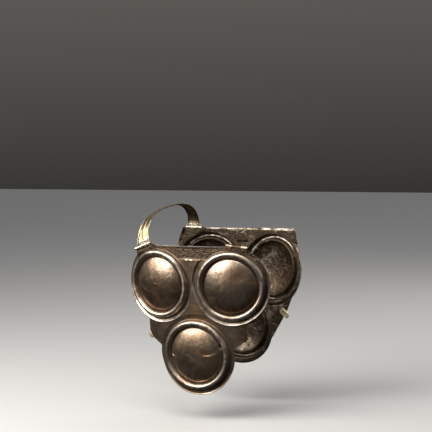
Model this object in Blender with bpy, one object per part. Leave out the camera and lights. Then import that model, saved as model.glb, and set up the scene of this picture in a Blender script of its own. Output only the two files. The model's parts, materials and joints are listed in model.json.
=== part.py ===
"""Three-disc bronze cuirass: front and back plates of embossed sheet, joined over one shoulder by a hinged strap.

Run with: blender --background --python part.py
Metres, +Z up, -Y is the wearer's front, +X is the wearer's left. The origin is under the crown of the shoulder plate,
where it rests on the shoulder. Each plate is laid out on its own flat pattern, u across and w up from the line of its
upper disc centres, and then bent about an upright axis. Heights on a plate are measured outwards from its bent sheet.
"""

import math
from types import SimpleNamespace

import bpy
import numpy as np
from mathutils import Matrix, Vector
from mathutils.geometry import delaunay_2d_cdt

# Sheet and clearances
WALL = 0.0014
GAP = 0.0003

# Front plate
FRONT_BEND = 0.438
FRONT_PITCH = 0.1508
FRONT_DROP = 0.1332
FRONT_DOME = 0.0510
FRONT_CREST = 0.0600
FRONT_BEAD = 0.0120
FRONT_RIM = 0.0755
FRONT_LOWER_SCALE = 1.03
FRONT_TOP = 0.0745
FRONT_FLANK_U = 0.1040
FRONT_FLANK_W = -0.0930
FRONT_FLANK_CHAMFER = (0.0065, 0.0125)
FRONT_HANG = math.radians(3.35)

# Back plate
BACK_BEND = 0.354
BACK_PITCH = 0.1400
BACK_DROP = 0.1180
BACK_DOME = 0.0520
BACK_CREST = 0.0606
BACK_BEAD = 0.0110
BACK_RIM = 0.0760
BACK_LOWER_SCALE = 1.0
BACK_TOP = 0.0755
BACK_FAR_TOP = 0.0785
BACK_CORNER = 0.1280
BACK_FLANK_U = 0.1110
BACK_FLANK_W = -0.0790
BACK_HANG = math.radians(4.69)

# Where the back plate stands behind the front plate
TORSO_DEPTH = 0.2070
BACK_RISE = 0.0140
BACK_SHIFT = 0.0050

# Heights of the embossing above the bent sheet
DOME_RISE = 0.0110
DOME_FLATNESS = 2.4
DOME_STEEPNESS = 0.65
DOME_EDGE_HEIGHT = 0.0035
GROOVE_HEIGHT = 0.0020
BEAD_HEIGHT = 0.0100
FLANGE_HEIGHT = 0.0006
RIM_HEIGHT = 0.0030
RIM_WIDTH = 0.0046
WEB_HEIGHT = 0.0012
BOSS_HEIGHT = 0.0034
BAND_DEPTH = 0.0245
BAND_BLEND = 0.0025
BOSS_BLEND = 0.0100
WEB_CORNER = 0.0012

# Hinges: an axis along the top edge of a flattened corner, a riveted leaf with two knuckles, and a headed pin
HINGE_AXIS = {"worn": (-0.1085, 0.0712, 21.4), "spare": (0.0912, 0.0742, -7.8), "back": (0.1050, 0.0755, 0.0)}
LEAF_DROP = {"worn": 0.0098, "spare": 0.0090, "back": 0.0085}
SEAT_FOLLOWS_BEND = {"worn": 0.0, "spare": 1.0, "back": 0.0}
SEAT_LIFT = {"worn": 0.0012, "spare": 0.0, "back": 0.0014}
KNUCKLE_LENGTH = {"worn": 0.0100, "spare": 0.0110, "back": 0.0100}
TONGUE_WIDTH = {"worn": 0.0150, "spare": 0.0168, "back": 0.0150}
KNUCKLE_RADIUS = 0.0030
PIN_RADIUS = 0.0014
PIN_HEAD_RADIUS = 0.0024
PIN_HEAD_LENGTH = 0.0012
LEAF_THICKNESS = 0.0011
SEAT_MARGIN = 0.0006
SEAT_BLEND = 0.0100
SEAT_RING_BLEND = 0.0024
SEAT_LINE_TOP = 0.0040
FOOT_BLEND = 0.0005
RUNNING_GAP = 0.0004
HINGE_SIDES = 10

# Rivets and the plain holes along the bands
RIVET_RADIUS = 0.0010
RIVET_HEAD_RADIUS = 0.0021
RIVET_HEAD_HEIGHT = 0.0011
RIVET_KNUCKLE_SHARE = 0.62
RIVET_DROP_SHARE = 0.70
HOLE_RADIUS = 0.0014
HOLE_SIDES = 8
FRONT_HOLES = ((-0.0300, 0.0624), (0.0256, 0.0638))
BACK_HOLES = ((0.0643, 0.0685), (0.0395, 0.0621), (0.0120, 0.0649), (-0.0070, 0.0623), (-0.1195, 0.0690))

# Flank ears: tongues riveted inside the corner of each flank, each with two lace holes
EAR_WIDTH = 0.0120
EAR_INSIDE = 0.0070
EAR_OUTSIDE = 0.0170
EAR_THICKNESS = 0.0012
EAR_GAP = 0.0006
EAR_TURN = math.radians(-35.0)
EAR_CORNER = 0.0030
FRONT_EAR_INSET = (0.0082, 0.0037)
BACK_EAR_INSET = (0.0105, 0.0060)
LACE_HOLE_RADIUS = 0.0014
LACE_HOLE_PITCH = 0.0052

# Shoulder plate
STRAP_WIDTH = 0.0230
STRAP_RISE = 0.0590
STRAP_BOW = 0.0020
STRAP_FULLNESS = 2.6
STRAP_BORDER_HEIGHT = 0.0010
STRAP_RIB_HEIGHT = 0.0012
STRAP_END_GAP = 0.0012
TONGUE_INSET = 0.0001

# Mesh fineness
DISC_SIDES = 28
DOME_RINGS = (0.50, 0.80, 0.94, 1.00)
STRAP_SECTIONS = 20
STRAP_SAMPLE = 0.001
PATTERN_STEP = 0.0135
DRILL_REACH = 0.004


def smooth(x):
    """Smooth step from 0 to 1 as x goes from 0 to 1."""
    x = np.clip(x, 0.0, 1.0)
    return x * x * (3.0 - 2.0 * x)


def clear_scene():
    for obj in list(bpy.data.objects):
        bpy.data.objects.remove(obj, do_unlink=True)


def bronze(name, colour, roughness):
    """A bronze with its own colour."""
    mat = bpy.data.materials.new(name)
    mat.use_nodes = True
    shader = mat.node_tree.nodes["Principled BSDF"]
    shader.inputs["Base Color"].default_value = (*colour, 1.0)
    shader.inputs["Metallic"].default_value = 0.9
    shader.inputs["Roughness"].default_value = roughness
    return mat


def make_seat(key, bend):
    """The flattened corner that carries a hinge: its axis centre on the pattern, slope, half length and facing."""
    u, w, slope = HINGE_AXIS[key]
    seat = SimpleNamespace(u=u, w=w, slope=math.radians(slope), leaf=LEAF_DROP[key])
    seat.knuckle, seat.tongue = KNUCKLE_LENGTH[key], TONGUE_WIDTH[key]
    seat.leaf_half = seat.knuckle + seat.tongue / 2 + RUNNING_GAP
    seat.half = seat.leaf_half + SEAT_MARGIN
    seat.rivet_across = seat.leaf_half - RIVET_KNUCKLE_SHARE * seat.knuckle
    seat.drop = seat.leaf + SEAT_MARGIN
    seat.rivet = RIVET_DROP_SHARE * seat.leaf
    seat.yaw = SEAT_FOLLOWS_BEND[key] * u / bend
    seat.away = u / bend - seat.yaw
    seat.reach = bend * math.cos(seat.away) + SEAT_LIFT[key]
    return seat


def make_plate(bend, pitch, drop, dome, crest, bead, rim, lower_scale, top, seats, holes, boss):
    discs = [(-pitch / 2, 0.0, 1.0), (pitch / 2, 0.0, 1.0), (0.0, -drop, lower_scale)]
    plate = SimpleNamespace(bend=bend, pitch=pitch, drop=drop, dome=dome, crest=crest, bead=bead, rim=rim)
    plate.top, plate.seats, plate.holes, plate.boss, plate.discs = top, seats, list(holes), boss, discs
    plate.foot = crest + bead / 2
    plate.lower_scale = lower_scale
    plate.band_low = top - BAND_DEPTH
    return plate


def ring_table(plate):
    """Radius and height of each embossed ring of a disc, from the dome out to the rim."""
    inner = plate.crest - plate.bead / 2
    groove = (plate.dome + inner) / 2
    rows = [(0.0, DOME_EDGE_HEIGHT + DOME_RISE)]
    for s in DOME_RINGS:
        rise = DOME_RISE * (1 - s**DOME_FLATNESS) ** DOME_STEEPNESS
        rows.append((s * plate.dome, DOME_EDGE_HEIGHT + rise))
    rows += [(groove, GROOVE_HEIGHT)]
    rows += [(plate.crest - plate.bead / 5, BEAD_HEIGHT), (plate.crest + plate.bead / 5, BEAD_HEIGHT)]
    rows += [(plate.foot, FLANGE_HEIGHT)]
    rows += [(plate.rim - RIM_WIDTH, FLANGE_HEIGHT), (plate.rim - RIM_WIDTH / 3, RIM_HEIGHT)]
    rows += [(plate.rim, WEB_HEIGHT)]
    return rows


def seat_axes(plate, seat, u, w):
    """Distances along the hinge axis and up from it, on the flat face of the seat."""
    c, s = math.cos(seat.slope), math.sin(seat.slope)
    across = seat.reach * (np.tan(u / plate.bend - seat.yaw) - math.tan(seat.away))
    return across * c + (w - seat.w) * s, -across * s + (w - seat.w) * c


def seat_pattern_point(plate, seat, a, b):
    """Pattern coordinates of a point a along the hinge axis and b above it, on the flat face of the seat."""
    c, s = math.cos(seat.slope), math.sin(seat.slope)
    turn = math.atan(math.tan(seat.away) + (a * c - b * s) / seat.reach)
    return plate.bend * (turn + seat.yaw), seat.w + a * s + b * c


def relief(plate, u, w):
    """Height of the outer face above the bent sheet: band, web and boss, discs, and the flat hinge seats."""
    radii, heights = np.array(ring_table(plate)).T
    shares = np.stack([np.hypot(u - cu, w - cw) / scale for cu, cw, scale in plate.discs])
    r = shares.min(axis=0)
    boss_here = smooth(w / BOSS_BLEND) * (np.abs(u) < plate.pitch / 2) * plate.boss
    web = WEB_HEIGHT + (BOSS_HEIGHT - WEB_HEIGHT) * boss_here
    h = np.where(r < plate.rim, np.interp(r, radii, heights), web)
    outside = smooth((r - plate.foot) / FOOT_BLEND + 1)
    band = smooth((w - plate.band_low + BAND_BLEND) / BAND_BLEND)
    h = h * (1 - band * outside)
    for seat in plate.seats:
        a, b = seat_axes(plate, seat, u, w)
        here = smooth((seat.half + SEAT_BLEND - np.abs(a)) / SEAT_BLEND)
        here = here * smooth((b + seat.drop + SEAT_BLEND) / SEAT_BLEND)
        here = here * smooth((r - plate.foot) / SEAT_RING_BLEND)
        flat = seat.reach / np.cos(u / plate.bend - seat.yaw) - plate.bend
        h = h * (1 - here) + flat * here
    return h


def bend_points(plate, u, w, h):
    """Pattern point (u, w) at height h, in the plate's frame: x across, -y outwards, z up."""
    a = u / plate.bend
    radius = plate.bend + h
    return np.stack([radius * np.sin(a), plate.bend - radius * np.cos(a), w + 0 * h], axis=-1)


def arc(centre, radius, start, stop, count):
    """Points on an arc from one angle to another, both ends included, in degrees."""
    t = np.radians(np.linspace(start, stop, count))
    return [(centre[0] + radius * math.cos(x), centre[1] + radius * math.sin(x)) for x in t]


def front_half(plate, seat):
    """One half of the front plate's outline, for positive u, from the top middle to the bottom middle."""
    outward = 1 if seat.u > 0 else -1
    upper = (plate.pitch / 2, 0.0)
    lower_rim = plate.rim * plate.lower_scale
    inner = seat_pattern_point(plate, seat, -outward * (plate.top - seat.w) / abs(math.sin(seat.slope)), 0.0)
    end = seat_pattern_point(plate, seat, outward * seat.half, 0.0)
    inner, end = (abs(inner[0]), inner[1]), (abs(end[0]), end[1])
    start = math.degrees(math.acos((end[0] - upper[0]) / plate.rim))
    stop = -math.degrees(math.acos((FRONT_FLANK_U - upper[0]) / plate.rim))
    points = [inner, end]
    points += arc(upper, plate.rim, start, stop, 13)
    chamfer_u, chamfer_w = FRONT_FLANK_CHAMFER
    points += [(FRONT_FLANK_U, FRONT_FLANK_W), (FRONT_FLANK_U - chamfer_u, FRONT_FLANK_W - chamfer_w)]
    points += arc((0.0, -plate.drop), lower_rim, 10.0, -90.0, 13)
    return points


def back_half(plate, corner_w):
    """One half of the back plate's outline, for positive u, with its square top corner and slanting flank."""
    upper = (plate.pitch / 2, 0.0)
    points = [(BACK_CORNER, corner_w)]
    points += arc(upper, plate.rim, 4.0, -48.0, 7)
    points += [(BACK_FLANK_U, BACK_FLANK_W)]
    points += arc((0.0, -plate.drop), plate.rim * plate.lower_scale, -14.0, -90.0, 10)
    return points


def close_outline(right, left):
    """A whole outline from its right and left halves, both given for positive u and sharing their last point."""
    return right + [(-u, w) for u, w in reversed(left[:-1])]


def inside(polygon, points):
    """Which points lie inside a closed polygon, by counting the edges to their right."""
    x, y = points.T
    found = np.zeros(len(points), bool)
    for (x0, y0), (x1, y1) in zip(polygon, polygon[1:] + polygon[:1]):
        crosses = (y0 > y) != (y1 > y)
        at = x0 + (y - y0) * (x1 - x0) / (y1 - y0 if y1 != y0 else 1.0)
        found ^= crosses & (x < at)
    return found


def plate_pattern(plate, outline, holes):
    """Points and triangles of the flat pattern, with rings round the discs, seats and holes as fixed lines."""
    points, edges = [], []

    def add(line, closed):
        ends = line + line[:1] if closed else line
        fine = []
        for (u0, w0), (u1, w1) in zip(ends, ends[1:]):
            steps = max(1, round(math.dist((u0, w0), (u1, w1)) / PATTERN_STEP))
            fine += [(u0 + (u1 - u0) * k / steps, w0 + (w1 - w0) * k / steps) for k in range(steps)]
        if not closed:
            fine += line[-1:]
        first = len(points)
        points.extend(fine)
        edges.extend((first + i, first + i + 1) for i in range(len(fine) - 1))
        if closed:
            edges.append((first + len(fine) - 1, first))

    def clear_of_corners(p):
        if p[1] > plate.band_low - BAND_BLEND:
            return False
        return abs(p[0]) > WEB_CORNER or p[1] < -plate.pitch / 4

    add(outline, True)
    for cu, cw, scale in plate.discs:
        points.append((cu, cw))
        for radius, _ in ring_table(plate)[1:-1]:
            turns = np.linspace(0, 2 * math.pi, DISC_SIDES, endpoint=False)
            ring = [(cu + radius * scale * math.cos(t), cw + radius * scale * math.sin(t)) for t in turns]
            if radius <= plate.foot + GAP:
                add(ring, True)
                continue
            others = [d for d in plate.discs if d != (cu, cw, scale)]
            keep = [
                clear_of_corners(p) and all(math.dist(p, o[:2]) / o[2] > radius + GAP for o in others) for p in ring
            ]
            first = keep.index(False) if False in keep else 0
            run = []
            for i in range(first, first + DISC_SIDES + 1):
                if keep[i % DISC_SIDES]:
                    run.append(ring[i % DISC_SIDES])
                if run and (not keep[i % DISC_SIDES] or i == first + DISC_SIDES):
                    add(run, False)
                    run = []
        radius = plate.foot + SEAT_RING_BLEND
        turns = np.radians(np.arange(30, 151, 10))
        ring = [(cu + radius * math.cos(t), cw + radius * math.sin(t)) for t in turns]
        add([p for p in ring if p[1] > plate.band_low], False)
    for seat in plate.seats:
        for margin in (0.0, SEAT_BLEND):
            half, low = seat.half + margin, -seat.drop - margin
            corners = [(-half, SEAT_LINE_TOP), (-half, low), (half, low), (half, SEAT_LINE_TOP)]
            if margin:
                line = [corners[0], (-half, -seat.drop / 2), (half, -seat.drop / 2), corners[3]]
                line = [line[:2], line[2:]]
            else:
                line = [corners]
            for piece in line:
                add([seat_pattern_point(plate, seat, a, b) for a, b in piece], False)
    foot_u = plate.pitch / 2 - math.sqrt(plate.rim**2 - plate.band_low**2)
    for w in (plate.band_low, plate.band_low - BAND_BLEND):
        add([(-foot_u, w), (foot_u, w)], False)
    for u, w, radius in holes:
        turns = np.linspace(0, 2 * math.pi, HOLE_SIDES, endpoint=False)
        add([(u + radius * math.cos(t), w + radius * math.sin(t)) for t in turns], True)

    coords = [Vector((u * 1000, w * 1000)) for u, w in points]
    verts, _, faces, *_ = delaunay_2d_cdt(coords, edges, [], 0, 1e-4)
    flat = np.array([tuple(v) for v in verts]) / 1000
    tris = np.array([f for f in faces if len(f) == 3])
    middle = flat[tris].mean(axis=1)
    keep = inside(outline, middle)
    for u, w, radius in holes:
        keep &= np.hypot(middle[:, 0] - u, middle[:, 1] - w) > radius * 0.9
    tris = tris[keep]
    a, b, c = flat[tris[:, 0]], flat[tris[:, 1]], flat[tris[:, 2]]
    area = (b[:, 0] - a[:, 0]) * (c[:, 1] - a[:, 1]) - (b[:, 1] - a[:, 1]) * (c[:, 0] - a[:, 0])
    tris[area < 0] = tris[area < 0][:, ::-1]
    tris = tris[np.abs(area) > 1e-12]
    used = np.unique(tris)
    index = np.full(len(flat), -1)
    index[used] = np.arange(len(used))
    return flat[used], index[tris]


def sheet_mesh(name, outer, tris):
    """A closed wall behind the triangles of an outer face, WALL thick along the average normal at each point."""
    n = len(outer)
    a, b, c = (outer[tris[:, k]] for k in range(3))
    face_normals = np.cross(b - a, c - a)
    normals = np.zeros_like(outer)
    for k in range(3):
        np.add.at(normals, tris[:, k], face_normals)
    inner = outer - WALL * normals / np.linalg.norm(normals, axis=1)[:, None]
    faces = [tuple(t) for t in tris] + [tuple(int(i) + n for i in t[::-1]) for t in tris]
    directed = {(int(t[i]), int(t[(i + 1) % 3])) for t in tris for i in range(3)}
    faces += [(b, a, a + n, b + n) for a, b in sorted(directed) if (b, a) not in directed]
    mesh = bpy.data.meshes.new(name)
    mesh.from_pydata([tuple(p) for p in np.concatenate([outer, inner])], [], [list(map(int, f)) for f in faces])
    mesh.validate()
    return mesh


def plate_mesh(name, plate, outline, holes):
    flat, tris = plate_pattern(plate, outline, holes)
    u, w = flat.T
    h = relief(plate, u, w)
    return sheet_mesh(name, bend_points(plate, u, w, h), tris)


def box_mesh(low, high):
    """An axis-aligned box."""
    (x0, y0, z0), (x1, y1, z1) = low, high
    verts = [(x, y, z) for z in (z0, z1) for y in (y0, y1) for x in (x0, x1)]
    faces = [(0, 2, 3, 1), (4, 5, 7, 6), (0, 1, 5, 4), (2, 6, 7, 3), (0, 4, 6, 2), (1, 3, 7, 5)]
    mesh = bpy.data.meshes.new("box")
    mesh.from_pydata(verts, [], faces)
    return mesh


def lathe_mesh(profile, sides, closed=False):
    """A profile of (position along x, radius) turned about the x axis. Closed joins its last row to its first."""
    turns = np.linspace(0, 2 * math.pi, sides, endpoint=False)
    verts = [(x, r * math.cos(t), r * math.sin(t)) for x, r in profile for t in turns]
    rows = len(profile)
    faces = []
    for k in range(rows if closed else rows - 1):
        for i in range(sides):
            j, m = (i + 1) % sides, (k + 1) % rows
            faces.append((k * sides + j, m * sides + j, m * sides + i, k * sides + i))
    if not closed:
        faces += [tuple(reversed(range(sides))), tuple(range((rows - 1) * sides, rows * sides))]
    mesh = bpy.data.meshes.new("lathe")
    mesh.from_pydata(verts, [], faces)
    return mesh


def tube_mesh(start, stop, outer, inner):
    """A tube along the x axis."""
    return lathe_mesh([(start, inner), (start, outer), (stop, outer), (stop, inner)], HINGE_SIDES, closed=True)


def combine(base, others, operation):
    """The base mesh with the other meshes joined to it or cut from it."""
    objects = [bpy.data.objects.new("work", mesh) for mesh in [base, *others]]
    for obj in objects:
        bpy.context.scene.collection.objects.link(obj)
    for other in objects[1:]:
        modifier = objects[0].modifiers.new("combine", "BOOLEAN")
        modifier.operation = operation
        modifier.solver = "EXACT"
        modifier.object = other
    bpy.context.view_layer.update()
    graph = bpy.context.evaluated_depsgraph_get()
    result = bpy.data.meshes.new_from_object(objects[0].evaluated_get(graph))
    for obj in objects:
        bpy.data.objects.remove(obj)
    return result


def place(mesh, matrix):
    mesh.transform(matrix)
    return mesh


def seat_frame(plate, seat):
    """Hinge frame on a seat: x along the pin, -y outwards, z up the plate, origin on the pin's axis."""
    across = seat.reach * math.tan(seat.away)
    on_face = Matrix.Translation((0, plate.bend, seat.w)) @ Matrix.Rotation(seat.yaw, 4, "Z")
    out = -seat.reach - GAP - KNUCKLE_RADIUS
    return on_face @ Matrix.Translation((across, out, 0)) @ Matrix.Rotation(-seat.slope, 4, "Y")


def rivet_mesh(grip):
    """A rivet along +x with its domed head starting at 0 and its tail starting at -grip."""
    reach = RIVET_HEAD_HEIGHT
    profile = [
        (-grip - 0.7 * reach, 0.6 * RIVET_HEAD_RADIUS),
        (-grip, 0.9 * RIVET_HEAD_RADIUS),
        (-grip, RIVET_RADIUS),
        (0.0, RIVET_RADIUS),
        (0.0, RIVET_HEAD_RADIUS),
        (0.6 * reach, 0.8 * RIVET_HEAD_RADIUS),
        (reach, 0.35 * RIVET_HEAD_RADIUS),
    ]
    return lathe_mesh(profile, HOLE_SIDES)


def rivet_turn():
    """Turns a rivet's +x to the outward side, -y."""
    return Matrix.Rotation(-math.pi / 2, 4, "Z")


def leaf_mesh(seat):
    """Hinge leaf with two rolled knuckles, in its hinge frame."""
    half, knuckle = seat.leaf_half, seat.knuckle
    back = KNUCKLE_RADIUS
    leaf = box_mesh((-half, back - LEAF_THICKNESS, -seat.leaf), (half, back, 0.0))
    bore = PIN_RADIUS + GAP
    starts = (-half, half - knuckle)
    tubes = [tube_mesh(start, start + knuckle, KNUCKLE_RADIUS, bore) for start in starts]
    joined = combine(leaf, tubes, "UNION")
    notch = half - knuckle
    deep = KNUCKLE_RADIUS + RUNNING_GAP
    drills = [box_mesh((-notch, -deep, -deep), (notch, 2 * deep, deep))]
    for side in (-1, 1):
        drill = lathe_mesh([(-DRILL_REACH, RIVET_RADIUS + GAP), (DRILL_REACH, RIVET_RADIUS + GAP)], HOLE_SIDES)
        turn = Matrix.Translation((side * seat.rivet_across, back - LEAF_THICKNESS / 2, -seat.rivet)) @ rivet_turn()
        drills.append(place(drill, turn))
    return combine(joined, drills, "DIFFERENCE")


def pin_mesh(seat):
    """Hinge pin with a head at each end, along the x axis."""
    half = seat.leaf_half + GAP
    end = half + PIN_HEAD_LENGTH
    profile = [(-end, 0.8 * PIN_HEAD_RADIUS), (-end + 0.3 * PIN_HEAD_LENGTH, PIN_HEAD_RADIUS)]
    profile += [(-half, PIN_HEAD_RADIUS), (-half, PIN_RADIUS), (half, PIN_RADIUS), (half, PIN_HEAD_RADIUS)]
    profile += [(end - 0.3 * PIN_HEAD_LENGTH, PIN_HEAD_RADIUS), (end, 0.8 * PIN_HEAD_RADIUS)]
    return lathe_mesh(profile, HINGE_SIDES)


def ear_mesh():
    """Flank ear, x pointing out of the flank, its outer face at y = 0, with a rivet hole at the origin."""
    half = EAR_WIDTH / 2
    corner = EAR_CORNER
    outline = [(-EAR_INSIDE + corner, -half), (-EAR_INSIDE, -half + corner), (-EAR_INSIDE, half - corner)]
    outline += [(-EAR_INSIDE + corner, half)]
    outline += arc((EAR_OUTSIDE - half, 0.0), half, 90, -90, 7)
    n = len(outline)
    verts = [(x, y, z) for y in (0.0, EAR_THICKNESS) for x, z in outline]
    faces = [tuple(range(n)), tuple(reversed(range(n, 2 * n)))]
    faces += [((i + 1) % n, i, i + n, (i + 1) % n + n) for i in range(n)]
    mesh = bpy.data.meshes.new("ear")
    mesh.from_pydata(verts, [], faces)
    drills = []
    lace_x = EAR_OUTSIDE - half
    for x, z, radius in (
        (0.0, 0.0, RIVET_RADIUS + GAP),
        (lace_x, LACE_HOLE_PITCH / 2, LACE_HOLE_RADIUS),
        (lace_x, -LACE_HOLE_PITCH / 2, LACE_HOLE_RADIUS),
    ):
        drill = lathe_mesh([(-DRILL_REACH, radius), (DRILL_REACH, radius)], HOLE_SIDES)
        drills.append(place(drill, Matrix.Translation((x, 0, z)) @ rivet_turn()))
    return combine(mesh, drills, "DIFFERENCE")


def ear_rivet_point(plate, side):
    """Pattern point of the rivet that holds an ear, a little inside the corner of the flank."""
    if plate is FRONT:
        return side * (FRONT_FLANK_U - FRONT_EAR_INSET[0]), FRONT_FLANK_W - FRONT_EAR_INSET[1]
    return side * (BACK_FLANK_U - BACK_EAR_INSET[0]), BACK_FLANK_W - BACK_EAR_INSET[1]


def surface_frame(plate, u, w, height, turn):
    """Frame on the bent sheet: x across, turned in its face, -y outwards."""
    point = bend_points(plate, np.array([u]), np.array([w]), np.array([height]))[0]
    spin = Matrix.Rotation(u / plate.bend, 4, "Z") @ Matrix.Rotation(-turn, 4, "Y")
    return Matrix.Translation(Vector(point)) @ spin


def strap_path(front_axis, back_axis, front_slope):
    """Centre points, side directions and half widths along the shoulder plate, from pin to pin."""
    near = [(0.0, 1.40), (0.05, 1.30), (0.09, 1.08), (0.3, 1.0)]
    widths = near + [(0.5, 0.96)] + [(1 - share, width) for share, width in reversed(near)]
    share, width = np.array(widths).T
    sweep = np.linspace(0, math.pi, 401)
    power = 2 / STRAP_FULLNESS
    level = np.cos(sweep)
    t = (1 - np.sign(level) * np.abs(level) ** power) / 2
    arch = np.clip(np.sin(sweep), 0, 1) ** power
    start, stop = np.array(front_axis), np.array(back_axis)
    points = start + (stop - start) * t[:, None]
    points[:, 2] += arch * STRAP_RISE
    points[:, 0] -= arch * STRAP_BOW
    slope = front_slope * (1 - smooth(t))
    side = np.stack([np.cos(slope), 0 * t, np.sin(slope)], axis=-1)
    length = np.concatenate([[0], np.cumsum(np.linalg.norm(np.diff(points, axis=0), axis=1))])
    half = STRAP_WIDTH / 2 * np.interp(length / length[-1], share, width)
    return points, side, half, length


def strap_sections(path, distances):
    """Path values read at distances along the strap, with the outward direction of each."""
    points, side, half, length = path
    read = [np.stack([np.interp(distances, length, a[:, k]) for k in range(3)], axis=-1) for a in (points, side)]
    step = STRAP_SAMPLE
    ahead = np.stack([np.interp(distances + step, length, points[:, k]) for k in range(3)], axis=-1)
    behind = np.stack([np.interp(distances - step, length, points[:, k]) for k in range(3)], axis=-1)
    along = ahead - behind
    up = np.cross(read[1], along)
    up /= np.linalg.norm(up, axis=1)[:, None]
    return read[0], read[1], up, np.interp(distances, length, half)


def strap_mesh(path):
    """Shoulder plate: an arched strip with raised borders and a middle rib, and a knuckle at each end."""
    across = np.array([-1.0, -0.88, -0.74, -0.22, 0.0, 0.22, 0.74, 0.88, 1.0])
    raised = np.array([0.6, 1.0, 0.0, 0.0, 0.0, 0.0, 0.0, 1.0, 0.6]) * STRAP_BORDER_HEIGHT
    raised[4] = STRAP_RIB_HEIGHT
    total = path[3][-1]
    edge = KNUCKLE_RADIUS + STRAP_END_GAP
    distances = np.linspace(edge, total - edge, STRAP_SECTIONS)
    centre, side, up, half = strap_sections(path, distances)
    grid = centre[:, None] + side[:, None] * (half[:, None] * across)[..., None]
    outer = grid + up[:, None] * raised[None, :, None]
    rows, columns = len(distances), len(across)
    tris = []
    for i in range(rows - 1):
        for j in range(columns - 1):
            a, b = i * columns + j, i * columns + j + 1
            c, d = a + columns, b + columns
            tris += [(a, b, d), (a, d, c)]
    strip = sheet_mesh("strap", outer.reshape(-1, 3), np.array(tris))
    bore = PIN_RADIUS + GAP
    pieces = []
    ends = (
        (path[0][0], centre[0], side[0], FRONT.seats[0].tongue / 2),
        (path[0][-1], centre[-1], -side[-1], BACK.seats[0].tongue / 2),
    )
    for pin, root, across_pin, width in ends:
        away = root - pin - across_pin * np.dot(root - pin, across_pin)
        away /= np.linalg.norm(away)
        axes = [across_pin, np.cross(away, across_pin), away]
        frame = Matrix.Identity(4)
        for column, vector in enumerate([*axes, pin]):
            for row in range(3):
                frame[row][column] = vector[row]
        pieces.append(place(tube_mesh(-width, width, KNUCKLE_RADIUS, bore), frame))
        tongue = box_mesh((-width, TONGUE_INSET, bore + GAP), (width, WALL - TONGUE_INSET, edge + WALL))
        pieces.append(place(tongue, frame))
    return combine(strip, pieces, "UNION")


def add_object(name, mesh, material, pivot, parent):
    """Links a node whose mesh is given in the torso's frame, with its origin at the pivot."""
    mesh.transform(Matrix.Translation(-pivot))
    mesh.materials.clear()
    mesh.materials.append(material)
    mesh.shade_smooth()
    mesh.set_sharp_from_angle(angle=math.radians(40))
    obj = bpy.data.objects.new(name, mesh)
    bpy.context.scene.collection.objects.link(obj)
    if parent is None:
        obj.location = pivot - ORIGIN
    else:
        obj.parent = parent
    return obj


def swing_empty(name, pivot, axis, angle):
    """The empty on a hinge's axis that its plate hangs from."""
    empty = bpy.data.objects.new(name, None)
    bpy.context.scene.collection.objects.link(empty)
    empty.matrix_world = Matrix.Translation(pivot - ORIGIN) @ Matrix.Rotation(angle, 4, axis)
    return empty


def build_plate(label, plate, outline, plate_to_torso, pivot, parent, materials, leaves):
    """A plate with its hinge leaves, pins, ears and rivets."""
    holes = [(u, w, HOLE_RADIUS) for u, w in plate.holes]
    for seat in plate.seats:
        for side in (-1, 1):
            u, w = seat_pattern_point(plate, seat, side * seat.rivet_across, -seat.rivet)
            holes.append((u, w, RIVET_RADIUS + GAP))
    ears = {"right": -1, "left": 1}
    if plate is BACK:
        ears = {"right": 1, "left": -1}
    for side in ears.values():
        holes.append((*ear_rivet_point(plate, side), RIVET_RADIUS + GAP))
    mesh = place(plate_mesh(label, plate, outline, holes), plate_to_torso)
    add_object(f"{label}_plate", mesh, materials["plate"], pivot, parent)
    for name, seat in zip(leaves, plate.seats):
        frame = plate_to_torso @ seat_frame(plate, seat)
        add_object(f"{name}_leaf", place(leaf_mesh(seat), frame), materials["fitting"], pivot, parent)
        add_object(f"{name}_pin", place(pin_mesh(seat), frame), materials["fitting"], pivot, parent)
        face = KNUCKLE_RADIUS - LEAF_THICKNESS - GAP
        grip = LEAF_THICKNESS + 2 * GAP + WALL + GAP
        for number, side in enumerate((-1, 1), 1):
            spot = Matrix.Translation((side * seat.rivet_across, face, -seat.rivet)) @ rivet_turn()
            rivet = place(rivet_mesh(grip), frame @ spot)
            add_object(f"{name}_rivet_{number}", rivet, materials["fitting"], pivot, parent)
    for word, side in ears.items():
        u, w = ear_rivet_point(plate, side)
        turn = EAR_TURN if side > 0 else math.pi - EAR_TURN
        frame = surface_frame(plate, u, w, WEB_HEIGHT, turn)
        mesh = place(ear_mesh(), plate_to_torso @ frame @ Matrix.Translation((0, WALL + EAR_GAP, 0)))
        add_object(f"{label}_{word}_ear", mesh, materials["ear"], pivot, parent)
        spot = Matrix.Translation((0, -GAP, 0)) @ rivet_turn()
        rivet = place(rivet_mesh(WALL + EAR_GAP + EAR_THICKNESS + 2 * GAP), plate_to_torso @ frame @ spot)
        add_object(f"{label}_{word}_ear_rivet", rivet, materials["fitting"], pivot, parent)


FRONT = make_plate(
    FRONT_BEND, FRONT_PITCH, FRONT_DROP, FRONT_DOME, FRONT_CREST, FRONT_BEAD, FRONT_RIM, FRONT_LOWER_SCALE,
    FRONT_TOP, [make_seat("worn", FRONT_BEND), make_seat("spare", FRONT_BEND)], FRONT_HOLES, 1.0
)
BACK = make_plate(
    BACK_BEND, BACK_PITCH, BACK_DROP, BACK_DOME, BACK_CREST, BACK_BEAD, BACK_RIM, BACK_LOWER_SCALE,
    BACK_TOP, [make_seat("back", BACK_BEND)], BACK_HOLES, 0.0
)
FRONT_TO_TORSO = Matrix.Identity(4)
BACK_TO_TORSO = Matrix.Translation((BACK_SHIFT, TORSO_DEPTH, BACK_RISE)) @ Matrix.Rotation(math.pi, 4, "Z")
FRONT_PIVOT = (FRONT_TO_TORSO @ seat_frame(FRONT, FRONT.seats[0])).translation
BACK_PIVOT = (BACK_TO_TORSO @ seat_frame(BACK, BACK.seats[0])).translation
PATH = strap_path(FRONT_PIVOT, BACK_PIVOT, FRONT.seats[0].slope)
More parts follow.
